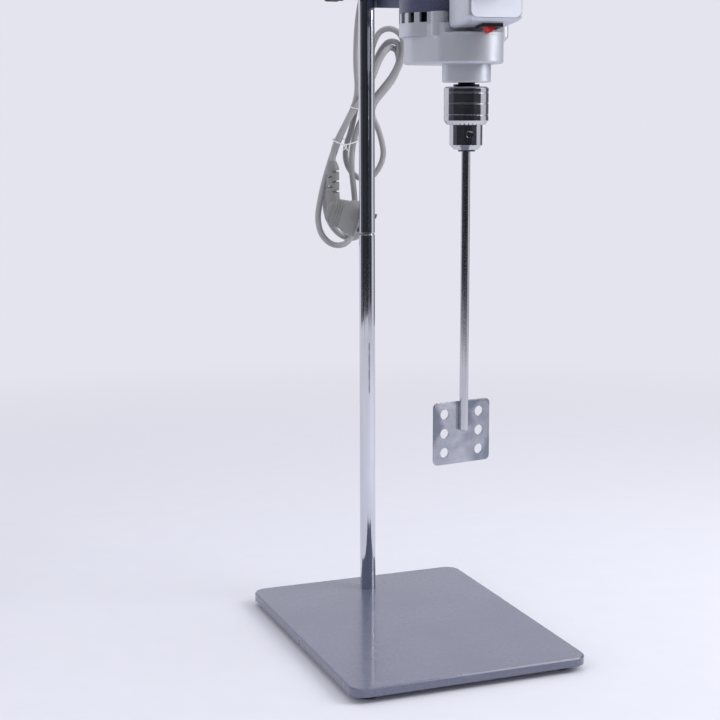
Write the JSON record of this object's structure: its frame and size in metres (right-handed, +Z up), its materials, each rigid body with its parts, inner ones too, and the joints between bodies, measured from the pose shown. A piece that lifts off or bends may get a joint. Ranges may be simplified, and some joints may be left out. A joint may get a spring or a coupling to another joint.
{
  "type": "overhead stirrer",
  "caption": "Motor-driven overhead stirrer clamped to a column on a heavy base plate, with a keyed three-jaw chuck and a perforated paddle.",
  "frame": {"origin": "middle of the base plate's footprint, on the bench under the rubber feet", "axes": "+Z up along the column; -Y towards the operator, where the dial and the display are; +X to the operator's right"},
  "size_m": [0.23, 0.3264, 0.753],
  "materials": {
    "plate_paint": "semi-gloss grey-blue paint",
    "rubber": "matt black rubber",
    "zinc_steel": "zinc-plated steel",
    "column_chrome": "polished hard chrome",
    "liner": "moulded plastic",
    "head_paint": "dark blue textured paint",
    "knob": "moulded dark plastic",
    "housing_alloy": "turned aluminium",
    "box_alloy": "satin anodised aluminium",
    "panel": "near-white satin paint",
    "window": "clear-coated plastic",
    "board": "circuit board laminate",
    "dial": "moulded plastic",
    "bezel": "black plastic",
    "rocker": "red plastic",
    "chuck_steel": "ground and polished steel",
    "tool_steel": "hardened steel",
    "bearing_steel": "ground steel",
    "lamination": "stacked electrical steel",
    "copper": "enamelled copper",
    "brass": "brass",
    "carbon": "pressed carbon",
    "fan_plastic": "moulded plastic",
    "stainless": "polished stainless steel",
    "cord_sheath": "grey flexible sheath"
  },
  "bodies": {
    "stand": {"base_plate": "plate_paint", "rubber_feet": "rubber", "foot_screws": "zinc_steel", "column_bolt": "zinc_steel", "column_lower": "column_chrome", "column_stud": "zinc_steel", "column_upper": "column_chrome"},
    "liner": {"clamp_liner": "liner"},
    "head": {"head_bracket": "head_paint", "bracket_screws": "zinc_steel", "gear_housing": "housing_alloy", "motor_flange": "housing_alloy", "flange_screws": "zinc_steel", "spindle_bearings": "bearing_steel", "motor_bearings": "bearing_steel", "stator_core": "lamination", "field_coils": "copper", "tie_screws": "zinc_steel", "end_bridge": "housing_alloy", "brush_holders": "brass", "carbon_brushes": "carbon", "motor_cover": "head_paint", "cover_screws": "zinc_steel", "control_box": "box_alloy", "front_panel": "panel", "display_window": "window", "circuit_board": "board", "switch_bezel": "bezel", "cord_gland": "rubber", "power_cord": "cord_sheath", "cord_hank": "cord_sheath", "cord_ties": "cord_sheath", "plug_body": "cord_sheath", "plug_pins": "brass"},
    "clamp": {"clamp_screw": "zinc_steel", "clamp_knob": "knob"},
    "spindle": {"spindle": "tool_steel", "output_gear": "tool_steel", "chuck_body": "chuck_steel"},
    "rotor": {"rotor_shaft": "tool_steel", "pinion": "tool_steel", "armature": "lamination", "rotor_winding": "copper", "commutator": "copper", "cooling_fan": "fan_plastic"},
    "chuck_ring": {"chuck_sleeve": "chuck_steel", "chuck_nut": "tool_steel"},
    "jaw_1": {"chuck_jaw_1": "tool_steel"},
    "jaw_2": {"chuck_jaw_2": "tool_steel"},
    "jaw_3": {"chuck_jaw_3": "tool_steel"},
    "stirrer": {"stirring_shaft": "stainless", "paddle": "stainless"},
    "rocker": {"switch_rocker": "rocker"},
    "dial": {"speed_dial": "dial"}
  },
  "joints": [
    {"name": "head_height", "type": "slide", "parent": "stand", "child": "liner", "axis": [0, 0, 1], "range_m": [-0.165, 0.1]},
    {"name": "head_swivel", "type": "hinge", "parent": "liner", "child": "head", "pos_m": [0, 0.113, 0.6305], "axis": [0, 0, 1], "range_deg": [-90, 90]},
    {"name": "clamp_turn", "type": "hinge", "parent": "head", "child": "clamp", "pos_m": [0, 0.113, 0.6305], "axis": [-1, 0, 0], "range_deg": [0, 720]},
    {"name": "spindle_spin", "type": "hinge", "parent": "head", "child": "spindle", "pos_m": [0.02, -0.078, 0.5], "axis": [0, 0, 1], "continuous": true},
    {"name": "rotor_spin", "type": "hinge", "parent": "head", "child": "rotor", "pos_m": [0.02, -0.042, 0.6], "axis": [0, 0, 1], "continuous": true},
    {"name": "sleeve_turn", "type": "hinge", "parent": "spindle", "child": "chuck_ring", "pos_m": [0.02, -0.078, 0.5], "axis": [0, 0, 1], "range_deg": [0, 1360]},
    {"name": "jaw_1_slide", "type": "slide", "parent": "spindle", "child": "jaw_1", "axis": [0.1311, -0.1139, 0.9848], "range_m": [0, 0.0057]},
    {"name": "jaw_2_slide", "type": "slide", "parent": "spindle", "child": "jaw_2", "axis": [0.0331, 0.1705, 0.9848], "range_m": [0, 0.0057]},
    {"name": "jaw_3_slide", "type": "slide", "parent": "spindle", "child": "jaw_3", "axis": [-0.1642, -0.0565, 0.9848], "range_m": [0, 0.0057]},
    {"name": "stirrer_slide", "type": "slide", "parent": "spindle", "child": "stirrer", "axis": [0, 0, -1], "range_m": [0, 0.033]},
    {"name": "rocker_press", "type": "hinge", "parent": "head", "child": "rocker", "pos_m": [0.0225, -0.11779, 0.57933], "axis": [0, -0.9904, 0.1382], "range_deg": [0, 16]},
    {"name": "dial_turn", "type": "hinge", "parent": "head", "child": "dial", "pos_m": [0.02, -0.1374, 0.6139], "axis": [0, -1, 0], "range_deg": [0, 300]}
  ],
  "couplings": [
    {"joint": "rotor_spin", "follows": "spindle_spin", "ratio": -3.2353},
    {"joint": "jaw_1_slide", "follows": "sleeve_turn", "m_per_rad": 0.00023873},
    {"joint": "jaw_2_slide", "follows": "sleeve_turn", "m_per_rad": 0.00023873},
    {"joint": "jaw_3_slide", "follows": "sleeve_turn", "m_per_rad": 0.00023873}
  ]
}
